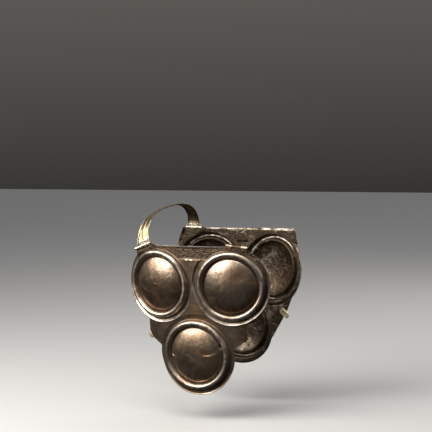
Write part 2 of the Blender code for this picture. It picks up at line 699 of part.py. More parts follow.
CROWN = strap_sections(PATH, np.array([PATH[3][-1] / 2]))
ORIGIN = Vector(CROWN[0][0] - CROWN[2][0] * (WALL - STRAP_RIB_HEIGHT))


def main():
    clear_scene()
    materials = {
        "plate": bronze("worn bronze", (0.25, 0.17, 0.11), 0.42),
        "strap": bronze("golden bronze", (0.45, 0.32, 0.15), 0.38),
        "fitting": bronze("hinge bronze", (0.33, 0.25, 0.15), 0.45),
        "ear": bronze("brassy bronze", (0.48, 0.38, 0.20), 0.40),
    }
    slope = FRONT.seats[0].slope
    front_axis = Vector((math.cos(slope), 0, math.sin(slope)))
    front_swing = swing_empty("front_swing", FRONT_PIVOT, front_axis, FRONT_HANG)
    back_swing = swing_empty("back_swing", BACK_PIVOT, Vector((1, 0, 0)), -BACK_HANG)
    front_outline = close_outline(front_half(FRONT, FRONT.seats[1]), front_half(FRONT, FRONT.seats[0]))
    seat = BACK.seats[0]
    level_end = (seat.u - seat.half, BACK.top)
    back_outline = close_outline([level_end] + back_half(BACK, BACK.top), back_half(BACK, BACK_FAR_TOP))
    build_plate(
        "front", FRONT, front_outline, FRONT_TO_TORSO, FRONT_PIVOT, front_swing, materials,
        ["front_hinge", "spare_hinge"]
    )
    build_plate("back", BACK, back_outline, BACK_TO_TORSO, BACK_PIVOT, back_swing, materials, ["back_hinge"])
    add_object("shoulder_plate", strap_mesh(PATH), materials["strap"], FRONT_PIVOT, None)
    bpy.context.view_layer.update()


main()
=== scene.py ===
import json
import math

import bpy
import numpy as np
from mathutils import Matrix, Vector


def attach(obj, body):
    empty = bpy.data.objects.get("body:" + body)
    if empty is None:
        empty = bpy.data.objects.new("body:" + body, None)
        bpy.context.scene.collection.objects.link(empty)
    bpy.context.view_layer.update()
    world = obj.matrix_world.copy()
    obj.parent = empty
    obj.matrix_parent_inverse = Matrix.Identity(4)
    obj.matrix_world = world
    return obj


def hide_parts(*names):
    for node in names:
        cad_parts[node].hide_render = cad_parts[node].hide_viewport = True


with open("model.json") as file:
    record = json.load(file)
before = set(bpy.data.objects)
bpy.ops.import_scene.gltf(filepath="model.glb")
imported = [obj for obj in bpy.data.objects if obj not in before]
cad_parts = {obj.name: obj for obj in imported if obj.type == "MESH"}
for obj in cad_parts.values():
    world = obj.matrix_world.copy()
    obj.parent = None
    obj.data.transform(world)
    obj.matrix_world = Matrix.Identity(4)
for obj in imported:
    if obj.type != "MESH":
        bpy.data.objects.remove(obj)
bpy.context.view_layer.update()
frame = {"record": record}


# Front plate. One bronze sheet, hammered from behind into three ringed domes round a small boss, with a flat granular
# band punched along its top edge. Its top corners are beaten flat for the hinges and small holes run along the band.
def ease(x):
    """Smooth step from 0 to 1 as x goes from 0 to 1."""
    x = np.clip(x, 0.0, 1.0)
    return x * x * (3 - 2 * x)


def bell(x, width, y=0.0, depth=1.0):
    """Bell-shaped bump of height 1: e to the minus square of x over its width minus the square of y over its depth."""
    return np.exp(-((x / width) ** 2) - (y / depth) ** 2)


def ring_profile(dome, crest, bead, rim):
    """Radii and heights across a disc: a round dome, a groove, a half-round bead and a flat flange.

    The dome and the bead are flattened arches, one minus a power of the share of their half width, raised to a second
    power. The joined line is smoothed with a short bell-shaped window.
    """
    dome_foot, dome_height, bead_top = 0.0034, 0.0109, 0.0099
    inner, foot, flange = crest - bead / 2, crest + bead / 2, rim + 0.0012
    s = np.sin(np.linspace(0, math.pi / 2, 60))
    x = np.linspace(-1, 1, 41)
    base = np.interp(x, [-1, 1], [0.0020, 0.0008])
    radii = [s * dome, [dome + 0.0006, inner - 0.0007], crest + x * bead / 2, [foot + 0.0012, flange]]
    heights = [
        dome_foot + dome_height * (1 - s**2.1) ** 0.80,
        [0.0017, 0.0015],
        base + (bead_top - base) * (1 - np.abs(x) ** 2.6) ** 0.62,
        [0.0002, 0.0003],
    ]
    fine = np.linspace(0, flange, 900)
    rough = np.interp(fine, np.concatenate(radii), np.concatenate(heights))
    kernel = np.hanning(9) / np.hanning(9).sum()
    return fine, np.convolve(np.pad(rough, 4, mode="edge"), kernel, "valid")


def seat_face(plate, seat, u, w):
    """Distances along and above a hinge's axis on its flat corner, and the height that makes the sheet flat there."""
    c, s = math.cos(seat["slope"]), math.sin(seat["slope"])
    turn = u / plate["bend"] - seat["yaw"]
    across = seat["reach"] * (np.tan(turn) - math.tan(seat["away"]))
    along, above = across * c + (w - seat["w"]) * s, -across * s + (w - seat["w"]) * c
    return along, above, seat["reach"] / np.cos(turn) - plate["bend"]


def plate_relief(plate, u, w):
    """Height of the outer face over the bent sheet, and its marks: worn crests, dull areas, and grooves darkened by
    dirt and painted shade.

    Each point takes the ring profile of its nearest disc. Beyond the rim it eases into the web between the discs. The
    band along the top and the corners under the hinges are eased flat, and the lip and the knocks come last. Wear lies
    on the beads, the rims, the lip and the boss. The grooves and the beads' feet are marked dark, dirt with painted
    shade in the creases, and the holes are ringed with dirt.
    """
    fine, soft = plate["profile"]
    rim, foot, (_, low, _) = plate["rim"], plate["foot"], plate["discs"][2]
    spread = [np.hypot(u - cu, w - cw) / scale for cu, cw, scale in plate["discs"]]
    r, lower = np.min(spread, axis=0), np.argmin(spread, axis=0) == 2
    step_up = 0.0025 * ease((0.030 - w) / 0.050) * ease((r - rim + 0.0052) / 0.0034)
    ramp = 0.0021 * ease((w - low + 0.027) / 0.030) * ease((r - foot - 0.001) / (rim - foot))
    turned_up = 0.0008 * ease((low - 0.020 - w) / 0.03) * ease((r - rim + 0.0030) / 0.0024)
    h = np.interp(r, fine, soft) + np.where(lower, ramp + turned_up, step_up)
    boss = ease(w / 0.012) * ease((plate["discs"][1][0] - np.abs(u)) / 0.002) * plate["boss"]
    boss_edge = ease((w - 0.0472) / 0.0012) * (1 - ease((w - 0.0490) / 0.0012)) * ease((0.0185 - np.abs(u)) / 0.003)
    web = 0.0024 + (0.0010 + 0.0009 * boss_edge) * boss
    beyond = ease((r - rim + 0.0006) / 0.0012)
    h = h * (1 - beyond) + web * beyond
    outside = ease((r - foot - 0.0001) / 0.0012)
    band = ease((w - plate["band"] + 0.0015) / 0.0022)
    h = h * (1 - band * outside)
    seats = np.zeros_like(u)
    for seat in plate["seats"]:
        along, above, flat = seat_face(plate, seat, u, w)
        here = ease((seat["half"] + 0.010 - np.abs(along)) / 0.010) * ease((above + seat["drop"] + 0.010) / 0.010)
        here = here * ease((r - foot) / 0.0024)
        h = h * (1 - here) + flat * here
        seats = np.maximum(seats, here)
    lip = 0.0008 * ease((w - plate["top"] + 0.0026) / 0.0010) * band * outside * (1 - seats)
    h = h + plate["dents"](u, w) + lip
    crest = bell(r - plate["crest"], 0.0026)
    crest = crest + 0.9 * ~lower * ease((0.010 - w) / 0.030) * bell(r - rim + 0.0025, 0.0020)
    crest = np.maximum(crest * (1 - band * outside), np.maximum(lip / 0.0009, 0.9 * boss_edge * boss * beyond))
    # The grooves and the beads' feet are marked dark, dirt with painted shade in the creases; the holes are ringed with
    # dirt.
    groove = bell(r - plate["groove"], 0.0016) + 0.8 * bell(r - foot - 0.0020, 0.0018)
    holes = (np.exp(-((np.hypot(u - hole_u, w - hole_w) / 0.0029) ** 4)) for hole_u, hole_w in plate["holes"])
    groove = np.maximum(groove, sum(holes))
    between = 0.06 + 0.62 * np.exp(-((u / 0.032) ** 4)) * ease((w + 0.085) / 0.02)
    dull = np.maximum(np.maximum(band, between) * outside, 0.6 * seats) * (1 - np.clip(crest, 0, 1))
    return h, np.clip(crest, 0, 1), dull, np.clip(groove, 0, 1)


def divided(line, step):
    """The polyline with each of its pieces divided evenly into steps of about the given length."""
    line = np.asarray(line, float)
    parts = []
    for a, b in zip(line[:-1], line[1:]):
        n = max(1, round(float(np.linalg.norm(b - a)) / step))
        parts.append(a + (b - a) * (np.arange(n) / n)[:, None])
    return np.concatenate(parts + [line[-1:]])


def round_arc(centre, radius, start, stop, step):
    """Points on an arc between two angles in degrees, about a step apart."""
    n = max(2, round(abs(math.radians(stop - start)) * radius / step))
    t = np.radians(np.linspace(start, stop, n + 1))
    return np.stack([centre[0] + radius * np.cos(t), centre[1] + radius * np.sin(t)], axis=-1)


def grid_quads(rows, columns, closed=False):
    """Quads between neighbours of a grid of points kept row by row. Closed joins its last row to its first."""
    i, k = np.meshgrid(np.arange(rows if closed else rows - 1), np.arange(columns - 1), indexing="ij")
    j = (i + 1) % rows
    quads = [i * columns + k, i * columns + k + 1, j * columns + k + 1, j * columns + k]
    return np.stack(quads, axis=-1).reshape(-1, 4)


def hub_fan(rays, rings):
    """Triangles between the inner ring of a closed grid of rays and its hub, which is the point after the grid."""
    ray = np.arange(rays)
    return np.stack([np.full(rays, rays * rings), ray * rings, (ray + 1) % rays * rings], axis=-1)


def star_cells(plate, right, left):
    """Three closed loops that share their seams, each seen whole from its disc's centre: right, left and lower.

    The seams run from the point that is equally far from all three centres, up the middle to the top edge, and down to
    the places on both sides of the outline that are equally far from their upper and the lower centre.
    """
    (cu, _, _), (_, low, _) = plate["discs"][1], plate["discs"][2]
    halves = []
    for half in (right, left * (-1, 1)):
        d = np.hypot(half[:, 0] - cu, half[:, 1]) - np.hypot(half[:, 0], half[:, 1] - low)
        k = int(np.argmax(d > 0))
        split = half[k - 1] + (half[k] - half[k - 1]) * (-d[k - 1] / (d[k] - d[k - 1]))
        halves.append((np.vstack([half[:k], split]), np.vstack([split, half[k:]])))
    middle = np.array([0.0, (cu**2 - low**2) / (-2 * low)])
    midline = divided([middle, right[0]], plate["step"])[1:-1]
    flip = (-1, 1)
    seam_right = divided([halves[0][0][-1], middle], plate["step"])
    seam_left = divided([halves[1][0][-1], middle], plate["step"]) * flip
    cells = [np.vstack([halves[0][0][:-1], seam_right, midline])[::-1]]
    cells += [np.vstack([halves[1][0][:-1] * flip, seam_left, midline])]
    lower = [seam_right[::-1][:-1], halves[0][1][:-1], (halves[1][1] * flip)[::-1][:-1], seam_left[:-1]]
    cells += [np.vstack(lower)[::-1]]
    return cells


def polar_patch(loop, centre, scale, plate):
    """Rays from a disc's centre to its loop: even rings out to the rim, then shares of what is left of each ray."""
    reach = np.linalg.norm(loop - centre, axis=1)
    unit = (loop - centre) / reach[:, None]
    fixed = scale * plate["levels"]
    last = fixed[-1]
    rim = np.minimum(scale * (plate["rim"] + 0.0004), reach - 0.0004)
    shares = np.linspace(0, 1, 11)[None, 1:]
    flange = last + (rim - last)[:, None] * shares
    outer = rim[:, None] + (reach - rim)[:, None] * shares
    r = np.concatenate([np.broadcast_to(fixed, (len(loop), len(fixed))), flange, outer], axis=1)
    points = centre + r[..., None] * unit[:, None, :]
    return np.vstack([points.reshape(-1, 2), centre]), grid_quads(*r.shape, closed=True), hub_fan(*r.shape)


def closed_sheet(outer, quads, wall, fans=None):
    """Vertices and faces of a sheet behind an outer face, with rounded open edges, and the ids of its edge points.

    The inner face lies one wall behind the outer one, along normals that are the sum of the facings round each point.
    Where only one face uses an edge, a third row of points stands half a wall down and about a third of a wall out.
    """
    fans = np.zeros((0, 3), np.int64) if fans is None else fans
    tris = np.concatenate([quads[:, [0, 1, 2]], quads[:, [0, 2, 3]], fans])
    a, b, c = (outer[tris[:, k]] for k in range(3))
    facing = np.cross(b - a, c - a)
    normals = np.zeros_like(outer)
    for k in range(3):
        np.add.at(normals, tris[:, k], facing)
    normals /= np.linalg.norm(normals, axis=1)[:, None]
    n = len(outer)
    pairs = [quads[:, [k, (k + 1) % 4]] for k in range(4)] + [fans[:, [k, (k + 1) % 3]] for k in range(3)]
    pairs = np.concatenate(pairs)
    lone = pairs[~np.isin(pairs[:, 0] * n + pairs[:, 1], pairs[:, 1] * n + pairs[:, 0])]
    away = np.zeros_like(outer)
    across = np.cross(outer[lone[:, 1]] - outer[lone[:, 0]], normals[lone[:, 0]])
    for k in range(2):
        np.add.at(away, lone[:, k], across)
    rim_ids = np.unique(lone)
    away = away[rim_ids] / np.linalg.norm(away[rim_ids], axis=1)[:, None]
    edge = outer[rim_ids] - 0.5 * wall * normals[rim_ids] + 0.36 * wall * away
    place = np.zeros(n, np.int64)
    place[rim_ids] = np.arange(len(rim_ids)) + 2 * n
    p, q = lone.T
    upper = np.stack([q, p, place[p], place[q]], axis=-1)
    under = np.stack([place[q], place[p], p + n, q + n], axis=-1)
    faces = np.concatenate([quads, quads[:, ::-1] + n, upper, under]).tolist()
    faces += np.concatenate([fans, fans[:, ::-1] + n]).tolist()
    return np.concatenate([outer, outer - wall * normals, edge]), faces, rim_ids


def placed(points, matrix):
    """Points turned and moved by a matrix."""
    world = np.array(matrix)
    return points @ world[:3, :3].T + world[:3, 3]


def mesh_object(name, verts, faces, matrix, material, sharp):
    """A smooth mesh object with its place in its mesh, and a hard edge wherever it bends more than sharp degrees."""
    mesh = bpy.data.meshes.new(name)
    mesh.from_pydata(placed(verts, matrix).tolist(), [], faces)
    mesh.shade_smooth()
    mesh.set_sharp_from_angle(angle=math.radians(sharp))
    mesh.materials.append(material)
    obj = bpy.data.objects.new(name, mesh)
    bpy.context.scene.collection.objects.link(obj)
    return obj


def write_marks(obj, marks):
    """Writes what the bronze materials read at each point: wear with some painted highlight, dullness, dirt with
    painted shade, and 1 on the outside or 0 within.
    """
    layer = obj.data.attributes.new("marks", "FLOAT_COLOR", "POINT")
    layer.data.foreach_set("color", marks.astype(np.float32).reshape(-1))


def plate_sheet(name, plate, right, left, matrix, material):
    """The plate as one closed sheet: outer skin, inner skin along the normals, and rounded turned edges between.

    The flat pattern is rolled round an upright cylinder whose radius is the plate's bend, with its relief on top.
    """
    points, quads, fans, base = [], [], [], 0
    for loop, (cu, cw, scale) in zip(star_cells(plate, right, left), (plate["discs"][k] for k in (1, 0, 2))):
        patch, q, f = polar_patch(loop, np.array([cu, cw]), scale, plate)
        points.append(patch)
        quads.append(q + base)
        fans.append(f + base)
        base += len(patch)
    points = np.concatenate(points)
    keys = np.round(points * 1e7).astype(np.int64)
    _, first, back = np.unique(keys, axis=0, return_index=True, return_inverse=True)
    back = back.reshape(-1)
    u, w = points[first].T
    quads, fans = back[np.concatenate(quads)], back[np.concatenate(fans)]
    h, crest, dull, groove = plate_relief(plate, u, w)
    bend, radius = plate["bend"], plate["bend"] + h
    outer = np.stack([radius * np.sin(u / bend), bend - radius * np.cos(u / bend), w], axis=-1)
    verts, faces, rim_ids = closed_sheet(outer, quads, plate["wall"], fans)
    obj = mesh_object(name, verts, faces, matrix, material, 50)
    n = len(outer)
    pick = np.concatenate([np.arange(n), np.arange(n), rim_ids])
    outside = np.concatenate([np.ones(n), np.zeros(n), np.ones(len(rim_ids))])
    worn_edge = np.concatenate([np.zeros(2 * n), np.ones(len(rim_ids))])
    write_marks(obj, np.stack([np.maximum(crest[pick], worn_edge), dull[pick], groove[pick], outside], axis=-1))
    stain = sum(np.exp(-(((u - su) ** 2 + (w - sw) ** 2) / size**2)) for su, sw, size in plate["stains"])
    obj.data.attributes.new("stain", "FLOAT", "POINT").data.foreach_set("value", stain[pick].astype(np.float32))
    return obj


def lathe(profile, sides, closed=False):
    """Vertices and faces of a profile of (place along x, radius) turned about x.

    Closed joins its last point to its first, as in a tube. Otherwise each end gets a flat disc.
    """
    profile = np.asarray(profile, float)
    rows = len(profile)
    t = np.linspace(0, 2 * math.pi, sides, endpoint=False)
    x = np.broadcast_to(profile[:, :1], (rows, sides))
    verts = np.stack([x, profile[:, 1:] * np.cos(t), profile[:, 1:] * np.sin(t)], axis=-1).reshape(-1, 3)
    k, i = np.meshgrid(np.arange(rows if closed else rows - 1), np.arange(sides), indexing="ij")
    j, m = (i + 1) % sides, (k + 1) % rows
    quads = np.stack([k * sides + j, m * sides + j, m * sides + i, k * sides + i], axis=-1).reshape(-1, 4).tolist()
    caps = [] if closed else [list(range(sides))[::-1], list(range((rows - 1) * sides, rows * sides))]
    return verts, quads + caps


def solid(name, shells, matrix, material):
    """One mesh object from several (vertices, faces) shells, placed by a matrix."""
    verts, faces, base = [], [], 0
    for shell_verts, shell_faces in shells:
        verts.append(shell_verts)
        faces += [[i + base for i in face] for face in shell_faces]
        base += len(shell_verts)
    return mesh_object(name, np.concatenate(verts), faces, matrix, material, 42)


def drill(obj, drills):
    """Cuts cylinders through the object, each given as (matrix along x, radius)."""
    shells = []
    for matrix, radius in drills:
        verts, faces = lathe([(-0.006, radius), (0.006, radius)], 20)
        shells.append((placed(verts, matrix), faces))
    cutter = solid("cutter", shells, Matrix.Identity(4), obj.data.materials[0])
    cut = obj.modifiers.new("holes", "BOOLEAN")
    cut.operation = "DIFFERENCE"
    cut.solver = "EXACT"
    cut.object = cutter
    bpy.context.view_layer.update()
    graph = bpy.context.evaluated_depsgraph_get()
    mesh = bpy.data.meshes.new_from_object(obj.evaluated_get(graph))
    obj.modifiers.clear()
    obj.data = mesh
    bpy.data.objects.remove(cutter)


def bronze_metal(name, tones, roughness, bumps, marked=True):
    """Tarnished bronze: clouds of patina tones with blotches, streaks and specks over fine unevenness.

    tones are (base, dark, warm, bright), and bumps are the scale and height of the coarse unevenness and the height of
    the fine one. Where the piece is marked, crests wear bright, stains lie in patches, grooves are darkened by dirt and
    painted shade, dull areas are dark and granular, and the inside is painted dark, painted shade over its pitted
    patina, with pits, pale blooms and darker patches of painted shade. The bright marks on the strap's feet, its rolled
    tongues and the hinge knuckles are painted highlights over wear.
    """
    mat = bpy.data.materials.new(name)
    mat.use_nodes = True
    nodes, links = mat.node_tree.nodes, mat.node_tree.links
    shader = nodes["Principled BSDF"]
    coords = nodes.new("ShaderNodeTexCoord")

    def noise(scale, detail, rough, distortion=0.0, stretch=None):
        tex = nodes.new("ShaderNodeTexNoise")
        tex.inputs["Scale"].default_value = scale
        tex.inputs["Detail"].default_value = detail
        tex.inputs["Roughness"].default_value = rough
        tex.inputs["Distortion"].default_value = distortion
        if stretch:
            mapping = nodes.new("ShaderNodeMapping")
            mapping.inputs["Scale"].default_value = stretch
            links.new(coords.outputs["Object"], mapping.inputs["Vector"])
            links.new(mapping.outputs["Vector"], tex.inputs["Vector"])
        else:
            links.new(coords.outputs["Object"], tex.inputs["Vector"])
        return tex.outputs["Fac"]

    def levels(value, low, high):
        node = nodes.new("ShaderNodeMapRange")
        node.interpolation_type = "SMOOTHSTEP"
        node.inputs["From Min"].default_value = low
        node.inputs["From Max"].default_value = high
        links.new(value, node.inputs["Value"])
        return node.outputs["Result"]

    def feed(sockets, values):
        for socket, value in zip(sockets, values):
            if isinstance(value, bpy.types.NodeSocket):
                links.new(value, socket)
            else:
                socket.default_value = value

    def shaded(tone, share):
        return tuple(share * c for c in tone)

    def mixed(factor, a, b):
        node = nodes.new("ShaderNodeMix")
        node.data_type = "RGBA"
        colours = ((*value, 1.0) if isinstance(value, tuple) else value for value in (a, b))
        feed((node.inputs[0], node.inputs[6], node.inputs[7]), (factor, *colours))
        return node.outputs[2]

    def blend(operation, a, b):
        node = nodes.new("ShaderNodeMath")
        node.operation = operation
        feed(node.inputs, (a, b))
        return node.outputs[0]

    def times(a, b):
        return blend("MULTIPLY", a, b)

    def plus(a, b):
        return blend("ADD", a, b)

    base, dark, warm, bright = tones
    clouds = levels(noise(16, 5, 0.62, 0.5), 0.36, 0.66)
    blotches = levels(noise(38, 7, 0.68, 0.8), 0.50, 0.68)
    specks = levels(noise(260, 4, 0.7), 0.60, 0.74)
    streaks = levels(noise(30, 6, 0.66, 0.3, (1.0, 1.0, 0.28)), 0.48, 0.74)
    colour = mixed(clouds, dark, base)
    colour = mixed(times(blotches, 0.75), colour, warm)
    colour = mixed(times(streaks, 0.45), colour, dark)
    colour = mixed(times(specks, 0.55), colour, shaded(dark, 0.45))
    rough = plus(times(clouds, -0.08), roughness + 0.06)
    rough = plus(rough, times(blotches, 0.10))
    coarse_scale, coarse, fine = bumps
    height = times(noise(coarse_scale, 5, 0.6), coarse)
    height = plus(height, times(noise(520, 4, 0.7), fine))
    if marked:
        attribute = nodes.new("ShaderNodeAttribute")
        attribute.attribute_name = "marks"
        split = nodes.new("ShaderNodeSeparateColor")
        links.new(attribute.outputs["Color"], split.inputs["Color"])
        crest, dull, groove = (split.outputs[k] for k in range(3))
        wear = times(crest, levels(noise(70, 6, 0.6, 0.6), 0.30, 0.62))
        colour = mixed(times(wear, 0.80), colour, bright)
        stains = nodes.new("ShaderNodeAttribute")
        stains.attribute_name = "stain"
        patch = times(stains.outputs["Fac"], levels(noise(120, 6, 0.7, 0.8), 0.36, 0.58))
        rust_brown = (0.40, 0.185, 0.070)
        colour = mixed(times(patch, 0.80), colour, rust_brown)
        # Grooves darken nearly black: dirt, with painted shade in the creases.
        grime_and_shade = times(groove, levels(noise(90, 5, 0.6), 0.20, 0.50))
        colour = mixed(times(grime_and_shade, 0.94), colour, shaded(dark, 0.15))
        rough = plus(rough, times(grime_and_shade, 0.25))
        rough = plus(rough, times(wear, 0.03))
        grain = nodes.new("ShaderNodeTexVoronoi")
        grain.inputs["Scale"].default_value = 430
        links.new(coords.outputs["Object"], grain.inputs["Vector"])
        grains = times(levels(grain.outputs["Distance"], 0.15, 0.75), levels(dull, 0.70, 0.95))
        colour = mixed(times(dull, 0.86), colour, shaded(dark, 0.62))
        colour = mixed(times(times(grains, dull), 0.80), colour, shaded(dark, 0.22))
        height = plus(height, times(times(grains, dull), -0.0012))
        rough = plus(rough, times(dull, 0.12))
        # The inside is painted nearly black, painted shade in the hollows over the pitted patina, with pale blooms,
        # pits and darker patches of painted shade.
        inside = times(blend("SUBTRACT", 1.0, attribute.outputs["Alpha"]), blend("SUBTRACT", 1.0, wear))
        pits = levels(noise(150, 6, 0.75, 0.4), 0.50, 0.64)
        bloom = levels(noise(24, 6, 0.66, 1.1), 0.52, 0.68)
        shade = levels(noise(19, 5, 0.62, 1.6, (1.0, 1.0, 1.3)), 0.50, 0.66)
        inner_shade_brown, pale_bloom, shade_brown, pit_grey = (
            (0.040, 0.027, 0.016), (0.42, 0.34, 0.255), (0.050, 0.038, 0.026), (0.055, 0.047, 0.036)
        )
        colour = mixed(times(inside, 0.82), colour, inner_shade_brown)
        colour = mixed(times(times(inside, bloom), 0.60), colour, pale_bloom)
        colour = mixed(times(times(inside, shade), 0.90), colour, shade_brown)
        colour = mixed(times(times(inside, pits), 0.55), colour, pit_grey)
        height = plus(height, times(times(inside, pits), -0.0007))
        rough = plus(rough, times(inside, 0.02))
    bump = nodes.new("ShaderNodeBump")
    bump.inputs["Strength"].default_value = 0.55
    bump.inputs["Distance"].default_value = 1.0
    links.new(height, bump.inputs["Height"])
    links.new(colour, shader.inputs["Base Color"])
    links.new(rough, shader.inputs["Roughness"])
    links.new(bump.outputs["Normal"], shader.inputs["Normal"])
    shader.inputs["Metallic"].default_value = 0.96
    return mat


def make_seat(bend, u, w, slope, leaf, follows, lift, knuckle, gap):
    """A flattened hinge corner: the place, slope and facing of its hinge's axis on the plate, and the hinge's sizes.

    u and w are the axis's place on the pattern and slope is its rise in degrees. follows is the share of the sheet's
    own turn that the corner keeps, lift its distance out, and gap the width of the tongue between two knuckles.
    """
    yaw = follows * u / bend
    seat = {"w": w, "slope": math.radians(slope), "drop": leaf + 0.0006, "leaf": leaf, "yaw": yaw}
    seat.update(notch=gap / 2 + 0.0004, end=knuckle + gap / 2 + 0.0004)
    seat.update(half=seat["end"] + 0.0006, rivet=(seat["end"] - 0.62 * knuckle, 0.70 * leaf))
    seat["away"] = u / bend - yaw
    seat["reach"] = bend * math.cos(seat["away"]) + lift
    return seat


def seat_point(plate, seat, along, above):
    """Pattern point at a place along and above a hinge's axis."""
    c, s = math.cos(seat["slope"]), math.sin(seat["slope"])
    turn = math.atan(math.tan(seat["away"]) + (along * c - above * s) / seat["reach"])
    return plate["bend"] * (turn + seat["yaw"]), seat["w"] + along * s + above * c


def hinge_frame(plate, seat):
    """Frame on a hinge: x along its pin, -y outwards, z up the plate. The pin's axis stands off the corner's face."""
    stand_off = 0.0033
    face = Matrix.Translation((0, plate["bend"], seat["w"])) @ Matrix.Rotation(seat["yaw"], 4, "Z")
    shift = Matrix.Translation((seat["reach"] * math.tan(seat["away"]), -seat["reach"] - stand_off, 0))
    return face @ shift @ Matrix.Rotation(-seat["slope"], 4, "Y")


def sheet_frame(plate, u, w, height, turn):
    """Frame on the bent sheet at a pattern point: x across and turned in its face, -y outwards."""
    a, radius = u / plate["bend"], plate["bend"] + height
    point = (radius * math.sin(a), plate["bend"] - radius * math.cos(a), w)
    return Matrix.Translation(point) @ Matrix.Rotation(a, 4, "Z") @ Matrix.Rotation(-turn, 4, "Y")


def hammered(u, w, pace):
    """Faint unevenness of the hammer, from -2 to 0: two crossed waves, each bent by a slower one."""
    across = np.sin(pace * u + 2 * np.sin((pace - 120) * w))
    return across * np.sin((pace - 40) * w + 1.7 * np.sin((pace - 80) * u)) - 1


front_disc, front_low, front_top = 0.0754, -0.1332, 0.0740


def front_dents(u, w):
    """Knocks in the lower dome, a nick at its edge, a knock in the left dome and a compass point on the right one.

    The lower dome's crease is a long dent with a curved floor and a faint lip under it.
    """
    x, y = u, w - front_low
    across = (x - 0.027) / 0.0150
    floor = y - 0.0002 - 0.0050 * across**2
    dent = -0.0009 * np.exp(-(across**2) * 1.2) * ease(floor / 0.0034) * (1 - ease((floor - 0.002) / 0.014))
    lip = 0.0002 * bell(across, 1.0) * bell(floor + 0.0010, 0.0018)
    fold = 0.0022 * bell(x + 0.0475, 0.0050, y + 0.0045 + 0.7 * (x + 0.0475), 0.0026)
    nick = -0.0024 * bell(x - 0.0520, 0.0032, y - 0.0185, 0.0040)
    soft = -0.0011 * bell(x + 0.018, 0.013, y + 0.026, 0.011)
    left = -0.0010 * bell(u - 0.0950, 0.012, w - 0.018, 0.010)
    point = 0.0006 * np.exp(-(((u + front_disc) ** 2 + w**2) / 0.0013**2))
    return dent + lip + fold + nick + soft + left + point + 0.00009 * hammered(u, w, 310)


front = {
    "bend": 0.438, "wall": 0.0013, "step": 0.0022, "top": front_top, "band": 0.0500, "boss": 1.0,
    "discs": [(-front_disc, 0.0, 1.0), (front_disc, 0.0, 1.0), (0.0, front_low, 1.03)],
    "crest": 0.0600, "foot": 0.0660, "groove": 0.0525, "rim": 0.0755,
    "profile": ring_profile(dome=0.0510, crest=0.0600, bead=0.0120, rim=0.0755),
    "levels": np.concatenate([
        np.linspace(0.0015, 0.0460, 13), np.linspace(0.0470, 0.0528, 13), np.linspace(0.0534, 0.0668, 18)
    ]),
    "dents": front_dents,
    "holes": ((-0.0300, 0.0624), (0.0256, 0.0638)),
    "stains": ((0.0880, 0.0210, 0.0150), (0.0190, -0.1270, 0.0120), (0.0020, -0.0500, 0.0130)),
}
worn_seat = make_seat(
    front["bend"], u=-0.1085, w=0.0712, slope=21.4, leaf=0.0098, follows=0.0, lift=0.0012, knuckle=0.0100, gap=0.0150
)
spare_seat = make_seat(
    front["bend"], u=0.0912, w=0.0742, slope=-7.8, leaf=0.0090, follows=1.0, lift=0.0, knuckle=0.0110, gap=0.0168
)
front["seats"] = [worn_seat, spare_seat]
disc_cut, flank, lower_cut, margin = 0.0749, 0.1035, 0.0772, 0.0004
front_halves = []
for seat, outward in ((spare_seat, 1), (worn_seat, -1)):
    to_top = -outward * (front_top - seat["w"]) / abs(math.sin(seat["slope"]))
    near = seat_point(front, seat, to_top, -margin)
    far = seat_point(front, seat, outward * (seat["half"] - margin), -margin)
    near, far = (abs(near[0]), near[1]), (abs(far[0]), far[1])
    top_angle = math.degrees(math.acos((far[0] - front_disc) / disc_cut))
    low_angle = -math.degrees(math.acos((flank - front_disc) / disc_cut))
    half = np.vstack([
        divided([(0.0, front_top), near, far], front["step"]),
        round_arc((front_disc, 0.0), disc_cut, top_angle, low_angle, front["step"]),
        divided([(flank, -0.0715), (flank, -0.0928), (0.0972, -0.1049), (0.0775, -0.1185)], front["step"]),
        round_arc((0.0, front_low), lower_cut, 9.0, -90.0, front["step"]),
    ])
    half = half[np.append(True, np.linalg.norm(np.diff(half, axis=0), axis=1) > margin)]
    half[-1, 0] = 0.0
    front_halves.append(half * (outward, 1))
joints = {joint["name"]: joint for joint in frame["record"]["behaviour"]["joints"]}
worn_axis = Vector((math.cos(worn_seat["slope"]), 0, math.sin(worn_seat["slope"])))
swing = Matrix.Rotation(math.radians(3.35), 4, worn_axis)
hung = Matrix.Translation(-hinge_frame(front, worn_seat).translation)
front_place = Matrix.Translation(joints["front_hinge"]["pos_m"]) @ swing @ hung
plate_bronze = bronze_metal(
    "plate bronze",
    ((0.47, 0.368, 0.283), (0.180, 0.121, 0.078), (0.35, 0.225, 0.130), (0.97, 0.88, 0.76)),
    0.29, (48, 0.0014, 0.00020),
)
front_plate = plate_sheet("front_sheet", front, *front_halves, front_place, plate_bronze)
along_x = Matrix.Rotation(-math.pi / 2, 4, "Z")
band_hole = 0.0014
drill(front_plate, [(front_place @ sheet_frame(front, u, w, 0, 0) @ along_x, band_hole) for u, w in front["holes"]])
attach(front_plate, "front")
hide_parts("front_plate")


# Back plate. The same kind of sheet with three ringed domes pushed out backwards, so that the photo shows their hollow
# side. It is square at its top corners, holed along its top band, more pitted inside and bent more tightly.
def back_dents(u, w):
    """A shallow knock in the lower dome and a faint unevenness of the hammer."""
    return -0.0010 * bell(u + 0.018, 0.015, w + 0.130, 0.012) + 0.00016 * hammered(u, w, 290)


